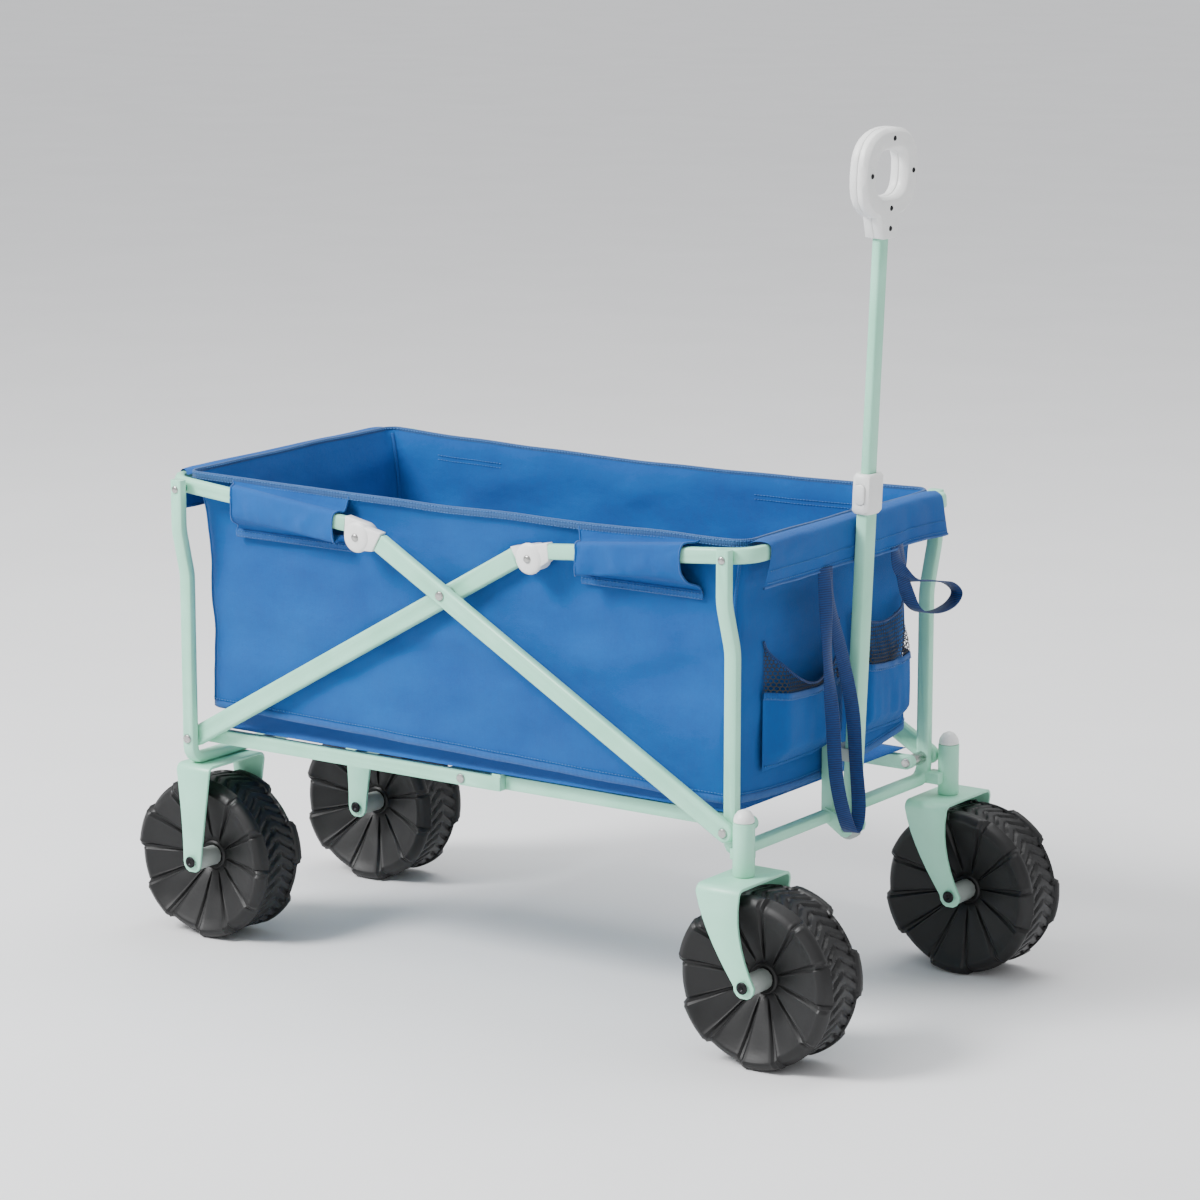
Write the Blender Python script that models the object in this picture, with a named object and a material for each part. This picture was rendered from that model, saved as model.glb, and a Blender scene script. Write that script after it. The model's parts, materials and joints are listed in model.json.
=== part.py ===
"""Folding beach cart: scissor-braced steel frame, fabric bag, caster forks, wide wheels, tilting pull handle.

Units are metres, +Z is up and +X points to the handle end.  The origin is on the ground under the middle.
Every moving object has its own origin on the axis of its joint.
"""
from math import atan2, cos, hypot, pi, radians, sin

import bmesh
import bpy
from mathutils import Matrix, Vector
from mathutils.geometry import convex_hull_2d

# ---- driving dimensions ------------------------------------------------------------------------
POST_SPACING = 0.860        # between the rear and front posts, along X
REAR_X = -0.4635            # rear posts; places the origin under the middle of the whole cart
FRONT_X = REAR_X + POST_SPACING
MIDDLE_X = REAR_X + POST_SPACING / 2
LOW_PIVOT_Z = 0.281         # braces and floor rails turn here, on the posts
CROSS_PIVOT_Z = 0.5276      # rivet where a pair of braces crosses
TOP_PIVOT_Z = 0.622         # top rails turn here, on the posts
HINGE_INSET = 0.297         # from a post to the white hinge on the same rail
HINGE_Z = 0.589
GAP = 0.0003                # between faces that touch on the real cart

POST_WIDE = 0.019           # post tube along X
POST_DEEP = 0.014           # post tube along Y
TUBE_ROUND = 0.004          # corner radius of every flat-sided tube
UPPER_POST_Y = 0.260        # outer face of the upper part of each post
REAR_LOW_POST_Y = 0.245     # outer face of the lower part, below the kink
FRONT_LOW_POST_Y = 0.240
KINK_TOP_Z = 0.568
KINK_LOW_Z = 0.505
CROSSBAR_Z = 0.252          # middle of the bar that joins the two posts of an end frame
CORNER_RADIUS = 0.0185      # between post and crossbar, on the middle line

BRACE_TALL = 0.026
BRACE_DEEP = 0.013
RAIL_TALL = 0.020
RAIL_DEEP = 0.013
REAR_RAIL_Y = 0.2335        # middle of the rear rail's side arms, inside the outer braces
FRONT_RAIL_Y = 0.2390       # middle of the front rail's side arms, outside the inner braces
INNER_BRACE_Y = 0.2240      # middle of the braces that start at the rear posts
OUTER_BRACE_Y = 0.2470      # middle of the braces that start at the front posts
RAIL_SLOPE = -0.0892        # the side arms fall towards the hinges
RAIL_POST_Z = 0.6245        # middle of the arm where it passes the post
RAIL_REACH = 0.028          # end bar of a top rail, outside the posts
HINGE_RADIUS = 0.017
HINGE_NECK = 0.030          # from the hinge's middle to where its tube starts
PIVOT_HOLE = 0.0047
RIVET_RADIUS = 0.0042
RIVET_HEAD = 0.0068

FLOOR_TALL = 0.018
FLOOR_DEEP = 0.0125
REAR_FLOOR_Y = 0.2048       # middle of the rear floor rails
FRONT_FLOOR_Y = 0.1918      # middle of the front floor rails, inside the rear ones
FLOOR_OVERLAP = 0.062       # rear rails run this far past the middle pivot
SLAT_WIDE = 0.018
SLAT_THICK = 0.008

WHEEL_RADIUS = 0.110
WHEEL_HALF = 0.047
LUGS = 8
REAR_WHEEL_Y = 0.181
FRONT_WHEEL_Y = 0.249
FRONT_AXLE_X = FRONT_X + 0.067
STEM_X = FRONT_X + 0.028
STEM_RADIUS = 0.014
STEM_BASE_Z = 0.232
STEM_TOP_Z = 0.298
KINGPIN_RADIUS = 0.006
FORK_HALF = 0.060           # from the wheel's middle to the outer face of a fork arm
FORK_PLATE = 0.004
AXLE_SLEEVE = 0.0060         # inside the wheel's bore
WHEEL_BORE = 0.0066
HUB_HALF = 0.0135
SPACER_RADIUS = 0.0135

HANDLE_LEAN = radians(2.44)
HANDLE_X = FRONT_X + 0.031
HANDLE_Z = 0.271                # foot of the lower tube, which its lengths are measured from
PIVOT_LENGTH = -0.030           # the handle turns on a pin through its boot
LOWER_TUBE = (0.017, 0.026)     # along X and Y
UPPER_TUBE = (0.013, 0.021)
COLLAR = (0.028, 0.038)
LOWER_TUBE_LENGTH = 0.424
COLLAR_START = 0.376
COLLAR_END = 0.427
UPPER_TUBE_END = 0.7217
NECK_END = 0.746                # where the grip's neck meets its loop
GRIP_TALL = 0.112
GRIP_WIDE = 0.127
GRIP_THICK = 0.027

BAG_SIDE_Y = 0.210
BAG_FLOOR_Z = 0.2915
BAG_INSET = 0.012               # from the post line to the corner of the bag
CLOTH = 0.003

MINT = (0.49, 0.76, 0.64)
BLUE = (0.015, 0.10, 0.36)
NAVY = (0.008, 0.03, 0.11)
BLACK = (0.012, 0.012, 0.013)
WHITE = (0.80, 0.81, 0.80)
GREY = (0.42, 0.43, 0.43)
STEEL = (0.62, 0.62, 0.63)


# ---- materials ---------------------------------------------------------------------------------
def material(name, colour, roughness, metallic=0.0):
    """Return one plain Principled material, made the first time it is asked for."""
    found = bpy.data.materials.get(name)
    if found:
        return found
    made = bpy.data.materials.new(name)
    made.use_nodes = True
    shader = made.node_tree.nodes["Principled BSDF"]
    shader.inputs["Base Color"].default_value = (*colour, 1.0)
    shader.inputs["Roughness"].default_value = roughness
    shader.inputs["Metallic"].default_value = metallic
    return made


def paint():
    return material("mint_paint", MINT, 0.32)


def cloth():
    return material("blue_cloth", BLUE, 0.85)


def tyre():
    return material("black_rubber", BLACK, 0.6)


def plastic():
    return material("white_plastic", WHITE, 0.4)


def spacer_plastic():
    return material("grey_plastic", GREY, 0.45)


def steel():
    return material("bright_steel", STEEL, 0.3, 1.0)


# ---- shapes ------------------------------------------------------------------------------------
def place(mesh_data, name, look, pivot, smooth_angle=50.0):
    """Turn a bmesh in world coordinates into an object whose origin is at the pivot."""
    bmesh.ops.recalc_face_normals(mesh_data, faces=mesh_data.faces)
    bmesh.ops.translate(mesh_data, verts=mesh_data.verts, vec=-Vector(pivot))
    mesh = bpy.data.meshes.new(name)
    mesh_data.to_mesh(mesh)
    mesh_data.free()
    mesh.materials.append(look)
    mesh.shade_smooth()
    mesh.set_sharp_from_angle(angle=radians(smooth_angle))
    made = bpy.data.objects.new(name, mesh)
    made.location = pivot
    bpy.context.scene.collection.objects.link(made)
    return made


def skin(loops, closed=False):
    """Join equal loops of points with quads; cap both ends, or close the last loop onto the first."""
    made = bmesh.new()
    rings = [[made.verts.new(point) for point in loop] for loop in loops]
    pairs = list(zip(rings, rings[1:]))
    if closed:
        pairs.append((rings[-1], rings[0]))
    else:
        made.faces.new(rings[0])
        made.faces.new(rings[-1])
    count = len(rings[0])
    for ring, following in pairs:
        for i in range(count):
            j = (i + 1) % count
            made.faces.new((ring[i], ring[j], following[j], following[i]))
    return made


def rounded_section(across, along, radius, steps=2):
    """Points of a rectangle with round corners, as (across, along) pairs."""
    points = []
    for quarter in range(4):
        turn = quarter * pi / 2
        side = 1 if quarter in (0, 3) else -1
        rise = 1 if quarter in (0, 1) else -1
        for step in range(steps + 1):
            angle = turn + step * pi / 2 / steps
            u = side * (across / 2 - radius) + radius * cos(angle)
            v = rise * (along / 2 - radius) + radius * sin(angle)
            points.append((u, v))
    return points


def sweep(path, normal, in_plane, through, radius=TUBE_ROUND):
    """Loops of a flat-sided tube along a path that lies in the plane with this normal."""
    normal = Vector(normal)
    section = rounded_section(in_plane, through, radius)
    loops = []
    for i, point in enumerate(path):
        before = path[i] - path[i - 1] if i else path[1] - path[0]
        after = path[i + 1] - path[i] if i + 1 < len(path) else before
        side_before = normal.cross(before.normalized())
        side_after = normal.cross(after.normalized())
        side = (side_before + side_after).normalized()
        stretch = 1 / max(side.dot(side_after), 0.5)
        loops.append([point + side * stretch * u + normal * v for u, v in section])
    return loops


def round_corner(start, corner, end, radius, steps=4):
    """Points of an arc of the radius that replaces a corner between two straight runs."""
    to_start = (start - corner).normalized()
    to_end = (end - corner).normalized()
    half = to_start.angle(to_end) / 2
    centre = corner + (to_start + to_end).normalized() * radius / sin(half)
    first = corner + to_start * radius * cos(half) / sin(half) - centre
    last = corner + to_end * radius * cos(half) / sin(half) - centre
    turn = first.angle(last) / steps
    axis = first.cross(last)
    return [centre + Matrix.Rotation(turn * step, 3, axis) @ first for step in range(steps + 1)]


def cylinder(centre, axis, radius, low, high, sides=12):
    """Loops of a plain round bar along an axis, from low to high measured from the centre."""
    return turned(centre, axis, [(radius, low), (radius, high)], sides)


def turned(centre, axis, profile, sides, radius_at=None):
    """Loops of a profile of (radius, height) pairs turned about an axis through the centre."""
    along = Vector(axis)
    first = along.orthogonal().normalized()
    if abs(along.y) > 0.9:
        first = Vector((0, 0, -1))
    second = along.cross(first)
    loops = []
    for radius, height in profile:
        loop = []
        for i in range(sides):
            angle = 2 * pi * i / sides
            size = radius_at(radius, i) if radius_at else radius
            spot = Vector(centre) + along * height
            loop.append(spot + first * size * cos(angle) + second * size * sin(angle))
        loops.append(loop)
    return loops


def plate(outline, y_low, y_high):
    """Loops of a flat plate whose outline is a list of (x, z) pairs."""
    return [[Vector((x, y, z)) for x, z in outline] for y in (y_low, y_high)]


def block(low, high):
    """Loops of a plain box between two corners."""
    outline = [(low[0], low[2]), (high[0], low[2]), (high[0], high[2]), (low[0], high[2])]
    return plate(outline, low[1], high[1])


def hull_outline(points):
    """Order the outer ones of a list of (x, z) pairs into an outline."""
    return [points[i] for i in convex_hull_2d([Vector(point) for point in points])]


def disc_points(x, z, radius, sides=20):
    """Points of a circle as (x, z) pairs."""
    return [(x + radius * cos(2 * pi * i / sides), z + radius * sin(2 * pi * i / sides)) for i in range(sides)]


def guide(loops, name):
    """A hidden helper solid that another object's Boolean uses."""
    made = place(skin(loops), name, steel(), (0, 0, 0))
    made.hide_render = True
    made.display_type = "WIRE"
    return made


def boolean(target, helper, operation):
    modifier = target.modifiers.new(helper.name, "BOOLEAN")
    modifier.operation = operation
    modifier.solver = "EXACT"
    modifier.object = helper


def drill(target, centre, axis, radius, depth=0.7):
    """Cut a straight round hole through the target."""
    helper = guide(cylinder(centre, axis, radius, -depth / 2, depth / 2), f"hole_{len(bpy.data.objects)}")
    boolean(target, helper, "DIFFERENCE")


def weld(target, loops):
    """Join one more shape to the target."""
    boolean(target, guide(loops, f"joined_{len(bpy.data.objects)}"), "UNION")


SIDES = (("near", -1), ("far", 1))     # near is -Y, far is +Y


# ---- end frames --------------------------------------------------------------------------------
def end_frame(name, x, low_post_y):
    """One U of tube: two posts, each kinked inwards half-way down, and the crossbar under the floor."""
    upper = UPPER_POST_Y - POST_DEEP / 2
    lower = low_post_y - POST_DEEP / 2
    top = Vector((x, -upper, TOP_PIVOT_Z + 0.0125))
    bend_out = Vector((x, -upper, KINK_TOP_Z))
    bend_in = Vector((x, -lower, KINK_LOW_Z))
    corner = Vector((x, -lower, CROSSBAR_Z))
    centre = Vector((x, 0, CROSSBAR_Z))
    half = [top]
    half += round_corner(top, bend_out, bend_in, 0.06, 2)
    half += round_corner(bend_out, bend_in, corner, 0.06, 2)
    half += round_corner(bend_in, corner, centre, CORNER_RADIUS)
    other = [Vector((point.x, -point.y, point.z)) for point in reversed(half)]
    made = place(skin(sweep(half + other, (1, 0, 0), POST_DEEP, POST_WIDE)), name, paint(), (x, 0, LOW_PIVOT_Z))
    drill(made, (x, 0, LOW_PIVOT_Z), (0, 1, 0), PIVOT_HOLE)
    drill(made, (x, 0, TOP_PIVOT_Z), (0, 1, 0), PIVOT_HOLE, 0.6)
    return made


def front_extras(frame):
    """Caster stems on brackets, and the post and ears that carry the handle."""
    for _, side in SIDES:
        y = side * FRONT_WHEEL_Y
        stem = cylinder((STEM_X, y, 0), (0, 0, 1), STEM_RADIUS, STEM_BASE_Z, STEM_TOP_Z, 16)
        weld(frame, stem)
        low = (FRONT_X + 0.006, min(side * 0.222, side * 0.246), CROSSBAR_Z - 0.004)
        high = (STEM_X, max(side * 0.222, side * 0.246), CROSSBAR_Z + 0.010)
        weld(frame, block(low, high))
        drill(frame, (STEM_X, y, 0.25), (0, 0, 1), KINGPIN_RADIUS + 0.0006)
    post_top = 0.345
    weld(frame, block((FRONT_X - 0.008, -0.011, CROSSBAR_Z), (FRONT_X + 0.008, 0.011, post_top)))
    pivot = handle_point(PIVOT_LENGTH)
    for _, side in SIDES:
        inner = side * (LOWER_TUBE[1] / 2 + 0.0015)
        outer = side * (LOWER_TUBE[1] / 2 + 0.0045)
        ear = disc_points(pivot.x, pivot.z, 0.012, 10)
        ear += [(FRONT_X, CROSSBAR_Z - 0.005), (FRONT_X, CROSSBAR_Z + 0.012)]
        weld(frame, plate(hull_outline(ear), min(inner, outer), max(inner, outer)))
    drill(frame, pivot, (0, 1, 0), PIVOT_HOLE, 0.1)


# ---- top rails and braces ----------------------------------------------------------------------
def rail_height(inset):
    """Height of the middle of a side arm at a distance inside its post."""
    return RAIL_POST_Z + RAIL_SLOPE * inset


def top_rail(name, post_x, inward, y_middle):
    """One U of tube round an end of the bag, which turns on the tops of two posts."""
    start_inset = HINGE_INSET - HINGE_NECK
    start = Vector((post_x + inward * start_inset, -y_middle, rail_height(start_inset)))
    corner = Vector((post_x - inward * RAIL_REACH, -y_middle, rail_height(-RAIL_REACH)))
    centre = Vector((corner.x, 0, corner.z))
    half = [start] + round_corner(start, corner, centre, 0.026)
    other = [Vector((point.x, -point.y, point.z)) for point in reversed(half)]
    slope_normal = Vector((-inward * RAIL_SLOPE, 0, 1)).normalized()
    loops = sweep(half + other, slope_normal, RAIL_DEEP, RAIL_TALL)
    made = place(skin(loops), name, paint(), (post_x, 0, TOP_PIVOT_Z))
    drill(made, (post_x, 0, TOP_PIVOT_Z), (0, 1, 0), PIVOT_HOLE, 0.6)
    return made


def brace_line(foot_x):
    """Foot of a brace, and the unit direction from there up through the crossing rivet."""
    foot = Vector((foot_x, 0, LOW_PIVOT_Z))
    crossing = Vector((MIDDLE_X, 0, CROSS_PIVOT_Z))
    return foot, (crossing - foot).normalized()


def brace_hinge(foot_x, inward):
    """The hinge at the upper end of the brace whose foot is at this post."""
    far_post = FRONT_X if inward > 0 else REAR_X
    return Vector((far_post - inward * HINGE_INSET, 0, HINGE_Z))


def brace(name, foot_x, inward, y_middle):
    """A straight flat-sided tube with a round foot, drilled at its foot and at the crossing."""
    foot, direction = brace_line(foot_x)
    hinge = brace_hinge(foot_x, inward)
    length = (hinge - foot).dot(direction) - HINGE_NECK
    across = Vector((-direction.z, 0, direction.x))
    half = BRACE_TALL / 2
    outline = [foot + direction * length + across * half, foot + direction * length - across * half]
    for step in range(9):
        angle = pi * step / 8
        outline.append(foot - across * half * cos(angle) - direction * half * sin(angle))
    loops = plate([(point.x, point.z) for point in outline], y_middle - BRACE_DEEP / 2, y_middle + BRACE_DEEP / 2)
    pivot = (foot_x, 0, LOW_PIVOT_Z) if inward > 0 else (MIDDLE_X, 0, CROSS_PIVOT_Z)
    made = place(skin(loops), name, paint(), pivot)
    edge = made.modifiers.new("round_edges", "BEVEL")
    edge.width = 0.0025
    edge.segments = 1
    edge.limit_method = "ANGLE"
    edge.angle_limit = radians(50)
    drill(made, foot, (0, 1, 0), PIVOT_HOLE, 0.6)
    drill(made, (MIDDLE_X, 0, CROSS_PIVOT_Z), (0, 1, 0), PIVOT_HOLE, 0.6)
    return made


def knuckle(name, hinge, tube_end, direction, tall, y_middle, deep, pivot):
    """A white hinge half: a round disc whose neck closes the end of its tube."""
    across = Vector((-direction.z, 0, direction.x))
    mouth = tube_end + direction * GAP
    outline = disc_points(hinge.x, hinge.z, HINGE_RADIUS)
    for edge in (1, -1):
        corner = mouth + across * edge * (tall / 2 + 0.0015)
        outline.append((corner.x, corner.z))
    loops = plate(hull_outline(outline), y_middle - deep / 2, y_middle + deep / 2)
    made = place(skin(loops), name, plastic(), pivot)
    drill(made, hinge, (0, 1, 0), PIVOT_HOLE, 0.6)


def rivet(name, x, z, y_inner, y_outer, side, pivot, collar=None, stud=False):
    """A headed pin across a joint; a collar fills a space between tubes, and a stud has one head only."""
    head = 0.0024
    profile = [(RIVET_RADIUS, y_inner + GAP)]
    if not stud:
        profile = [(RIVET_HEAD * 0.8, y_inner - head), (RIVET_HEAD, y_inner - GAP)]
        profile += [(RIVET_RADIUS, y_inner - GAP)]
    if collar:
        profile += [(RIVET_RADIUS, collar[0]), (0.008, collar[0]), (0.008, collar[1]), (RIVET_RADIUS, collar[1])]
    profile += [(RIVET_RADIUS, y_outer + GAP)]
    profile += [(RIVET_HEAD, y_outer + GAP), (RIVET_HEAD * 0.8, y_outer + head)]
    place(skin(turned((x, 0, z), (0, side, 0), profile, 12)), name, steel(), pivot)


def braces_and_hinges():
    """Both scissor pairs, their hinges with the top rails, and the rivets."""
    inner_deep = BRACE_DEEP / 2
    for label, side in SIDES:
        for kind, foot_x, inward, brace_y, rail_y in (
            ("inner", REAR_X, 1, INNER_BRACE_Y, FRONT_RAIL_Y),
            ("outer", FRONT_X, -1, OUTER_BRACE_Y, REAR_RAIL_Y),
        ):
            brace(f"{label}_{kind}_brace", foot_x, inward, side * brace_y)
            foot, direction = brace_line(foot_x)
            hinge = brace_hinge(foot_x, inward)
            length = (hinge - foot).dot(direction) - HINGE_NECK
            brace_pivot = foot if inward > 0 else Vector((MIDDLE_X, 0, CROSS_PIVOT_Z))
            end_name = "front" if inward > 0 else "rear"
            knuckle(f"{label}_{kind}_brace_knuckle", hinge, foot + direction * length, direction,
                    BRACE_TALL, side * brace_y, BRACE_DEEP, brace_pivot)
            post_x = FRONT_X if inward > 0 else REAR_X
            arm_inset = HINGE_INSET - HINGE_NECK
            arm_end = Vector((post_x - inward * arm_inset, 0, rail_height(arm_inset)))
            arm_direction = Vector((-inward, 0, RAIL_SLOPE)).normalized()
            rail_pivot = (post_x, 0, TOP_PIVOT_Z)
            knuckle(f"{label}_{end_name}_rail_knuckle", hinge, arm_end, arm_direction,
                    RAIL_TALL, side * rail_y, RAIL_DEEP, rail_pivot)
            outer_y = max(brace_y, rail_y)
            rivet_pivot = brace_pivot if brace_y > rail_y else rail_pivot
            rivet(f"{label}_{end_name}_hinge_rivet", hinge.x, hinge.z, outer_y - inner_deep,
                  outer_y + inner_deep, side, rivet_pivot, stud=True)
        low = INNER_BRACE_Y - inner_deep
        high = OUTER_BRACE_Y + inner_deep
        between = (INNER_BRACE_Y + inner_deep + GAP, OUTER_BRACE_Y - inner_deep - GAP)
        rivet(f"{label}_crossing_rivet", MIDDLE_X, CROSS_PIVOT_Z, low, high, side,
              (REAR_X, 0, LOW_PIVOT_Z), between)


# ---- floor -------------------------------------------------------------------------------------
def floor_frame(name, post_x, inward, y_middle, end_inset, slats, pivot):
    """Two side rails with slats across them, which turn on the feet of the posts."""
    half = FLOOR_TALL / 2
    end_x = post_x + inward * end_inset
    outline = [(end_x, LOW_PIVOT_Z + inward * half), (end_x, LOW_PIVOT_Z - inward * half)]
    for step in range(9):
        angle = pi * step / 8
        outline.append((post_x - inward * half * sin(angle), LOW_PIVOT_Z - inward * half * cos(angle)))
    made = None
    for side in (-1, 1):
        loops = plate(outline, side * y_middle - FLOOR_DEEP / 2, side * y_middle + FLOOR_DEEP / 2)
        if made is None:
            made = place(skin(loops), name, paint(), pivot)
        else:
            rail = guide(loops, f"{name}_far_rail")
    reach = y_middle
    top = LOW_PIVOT_Z + half - 0.0004
    for i, inset in enumerate(slats):
        middle = post_x + inward * inset
        low = (middle - SLAT_WIDE / 2, -reach, top - SLAT_THICK)
        high = (middle + SLAT_WIDE / 2, reach, top)
        weld(made, block(low, high))
        if i == 0:
            boolean(made, rail, "UNION")
    drill(made, (post_x, 0, LOW_PIVOT_Z), (0, 1, 0), PIVOT_HOLE, 0.6)
    drill(made, (MIDDLE_X, 0, LOW_PIVOT_Z), (0, 1, 0), PIVOT_HOLE, 0.6)
    return made


def stop_tabs(frame):
    """Small tabs on the rear floor rails that lie over the front ones and hold the floor level."""
    tab_x = MIDDLE_X + FLOOR_OVERLAP
    top = LOW_PIVOT_Z + FLOOR_TALL / 2
    for side in (-1, 1):
        ends = sorted((side * (FRONT_FLOOR_Y - 0.004), side * (REAR_FLOOR_Y + 0.004)))
        weld(frame, block((tab_x - 0.014, ends[0], top + 2 * GAP), (tab_x - GAP, ends[1], top + 0.0035)))
        inner = sorted((side * (REAR_FLOOR_Y - 0.004), side * (REAR_FLOOR_Y + 0.004)))
        weld(frame, block((tab_x - 0.014, inner[0], top - 0.004), (tab_x - GAP, inner[1], top + 0.002)))


def floor():
    """Both floor halves, the bolts at the feet of the posts and the bolts in the middle."""
    half = FLOOR_DEEP / 2
    rear = floor_frame("rear_floor_frame", REAR_X, 1, REAR_FLOOR_Y, POST_SPACING / 2 + FLOOR_OVERLAP,
                       (0.100, 0.255), (REAR_X, 0, LOW_PIVOT_Z))
    stop_tabs(rear)
    floor_frame("front_floor_frame", FRONT_X, -1, FRONT_FLOOR_Y, POST_SPACING / 2 + 0.027,
                (0.148, 0.255, 0.363, 0.4475), (FRONT_X, 0, LOW_PIVOT_Z))
    post_inner = FRONT_LOW_POST_Y - POST_DEEP
    for label, side in SIDES:
        rail_outer = REAR_FLOOR_Y + half
        between = (rail_outer + GAP, INNER_BRACE_Y - BRACE_DEEP / 2 - GAP)
        rivet(f"{label}_rear_foot_bolt", REAR_X, LOW_PIVOT_Z, REAR_FLOOR_Y - half, REAR_LOW_POST_Y, side,
              (REAR_X, 0, LOW_PIVOT_Z), between)
        between = (FRONT_FLOOR_Y + half + GAP, post_inner - GAP)
        rivet(f"{label}_front_foot_bolt", FRONT_X, LOW_PIVOT_Z, FRONT_FLOOR_Y - half,
              OUTER_BRACE_Y + BRACE_DEEP / 2, side, (FRONT_X, 0, LOW_PIVOT_Z), between)
        rivet(f"{label}_middle_bolt", MIDDLE_X, LOW_PIVOT_Z, REAR_FLOOR_Y - half, rail_outer, side,
              (REAR_X, 0, LOW_PIVOT_Z), stud=True)


# ---- wheels ------------------------------------------------------------------------------------
def fork(name, axle_x, y_middle, plate_x, plate_half, plate_top, pivot, kingpin=False):
    """A strip of steel folded into an upside-down U round a wheel, narrowing down to the axle."""
    bend = 0.010
    tip_half = 0.0150
    stations = []
    for drop, width in ((0.0145, 0.35), (0.0120, 0.65), (0.0065, 0.92), (0.0, 1.0)):
        stations.append((FORK_HALF, WHEEL_RADIUS - drop, 0, axle_x, tip_half * width))
    rise = plate_top - bend - WHEEL_RADIUS
    for step in range(1, 8):
        share = step / 7
        middle = plate_x + (axle_x - plate_x) * (1 - share) ** 1.8
        wide = tip_half + (plate_half - tip_half) * share ** 1.3
        stations.append((FORK_HALF, WHEEL_RADIUS + rise * share, 0, middle, wide))
    for step in range(1, 4):
        angle = step * pi / 6
        across = FORK_HALF - bend + bend * cos(angle)
        stations.append((across, plate_top - bend + bend * sin(angle), angle, plate_x, plate_half))
    loops = []
    for side in (-1, 1):
        run = stations if side < 0 else stations[::-1]
        for across, height, angle, middle, wide in run:
            inner_y = across - FORK_PLATE * cos(angle)
            inner_z = height - FORK_PLATE * sin(angle)
            y_outer = y_middle + side * across
            y_inner = y_middle + side * inner_y
            loops.append([
                Vector((middle - wide, y_outer, height)),
                Vector((middle + wide, y_outer, height)),
                Vector((middle + wide, y_inner, inner_z)),
                Vector((middle - wide, y_inner, inner_z)),
            ])
    made = place(skin(loops), name, paint(), pivot)
    drill(made, (axle_x, 0, WHEEL_RADIUS), (0, 1, 0), PIVOT_HOLE, 0.8)
    if kingpin:
        base = (STEM_X, y_middle, 0)
        weld(made, cylinder(base, (0, 0, 1), 0.0125, plate_top - 0.002, STEM_BASE_Z - GAP, 16))
        weld(made, cylinder(base, (0, 0, 1), KINGPIN_RADIUS, plate_top - 0.001, STEM_TOP_Z - 0.002, 10))
    return made


def lug_radius(radius, column):
    """Tread points dip between the lugs; the rest of the wheel is round."""
    if radius > WHEEL_RADIUS - 0.012 and column % 4 == 2:
        return radius - 0.0045
    return radius


def wheel(name, x, y):
    """A wide moulded wheel with dished faces, a bore for its axle and lugs round its tread."""
    face = [(WHEEL_BORE, HUB_HALF), (0.020, HUB_HALF), (0.086, 0.0385), (0.096, WHEEL_HALF)]
    shoulder = [(0.1050, 0.0435), (WHEEL_RADIUS, 0.033)]
    half = face + shoulder
    profile = [(radius, -height) for radius, height in half]
    profile += [(radius, height) for radius, height in reversed(half)]
    loops = turned((x, y, WHEEL_RADIUS), (0, 1, 0), profile, LUGS * 4, lug_radius)
    place(skin(loops, closed=True), name, tyre(), (x, y, WHEEL_RADIUS), 30)


def axle(name, x, y):
    """The axle bolt with its two spacers and its heads, through both fork arms."""
    arm_inner = FORK_HALF - FORK_PLATE
    half = [(0.0070, FORK_HALF + 0.0035), (0.0070, FORK_HALF + GAP)]
    half += [(RIVET_RADIUS, FORK_HALF + GAP), (RIVET_RADIUS, arm_inner - GAP)]
    half += [(SPACER_RADIUS, arm_inner - GAP), (SPACER_RADIUS, HUB_HALF + 2 * GAP)]
    half += [(AXLE_SLEEVE, HUB_HALF + 2 * GAP)]
    profile = [(radius, -height) for radius, height in half]
    profile += [(radius, height) for radius, height in reversed(half)]
    loops = turned((x, y, WHEEL_RADIUS), (0, 1, 0), profile, 12)
    place(skin(loops), name, spacer_plastic(), (x, y, WHEEL_RADIUS))


def running_gear():
    """Two fixed rear forks, two swivelling front forks with their caps, and all wheels and axles."""
    rear_top = CROSSBAR_Z - POST_DEEP / 2 - GAP
    front_top = STEM_BASE_Z - 0.0015
    for label, side in SIDES:
        y = side * REAR_WHEEL_Y
        fork(f"{label}_rear_fork", REAR_X, y, REAR_X + 0.004, 0.028, rear_top, (REAR_X, y, rear_top))
        wheel(f"{label}_rear_wheel", REAR_X, y)
        axle(f"{label}_rear_axle", REAR_X, y)
        y = side * FRONT_WHEEL_Y
        fork(f"{label}_front_fork", FRONT_AXLE_X, y, STEM_X, 0.031, front_top, (STEM_X, y, front_top), True)
        wheel(f"{label}_front_wheel", FRONT_AXLE_X, y)
        axle(f"{label}_front_axle", FRONT_AXLE_X, y)
        profile = [(0.0132, 0), (0.0132, 0.004)]
        profile += [(0.0128 * cos(angle), 0.004 + 0.0125 * sin(angle)) for angle in (0.3, 0.9, 1.4)]
        loops = turned((STEM_X, y, STEM_TOP_Z + GAP), (0, 0, 1), profile, 16)
        place(skin(loops), f"{label}_caster_cap", plastic(), (STEM_X, y, STEM_TOP_Z))


# ---- handle ------------------------------------------------------------------------------------
def handle_point(length, forward=0.0, sideways=0.0):
    """A point in the handle's own frame: along its lean, forward of it, and sideways."""
    along = Vector((sin(HANDLE_LEAN), 0, cos(HANDLE_LEAN)))
    front = Vector((cos(HANDLE_LEAN), 0, -sin(HANDLE_LEAN)))
    return Vector((HANDLE_X, 0, HANDLE_Z)) + along * length + front * forward + Vector((0, sideways, 0))


def handle_loops(sections):
    """Loops of round-cornered sections (length, deep, wide, corner) across the handle."""
    loops = []
    for length, deep, wide, corner in sections:
        section = rounded_section(deep, wide, corner)
        loops.append([handle_point(length, u, v) for u, v in section])
    return loops


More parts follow.
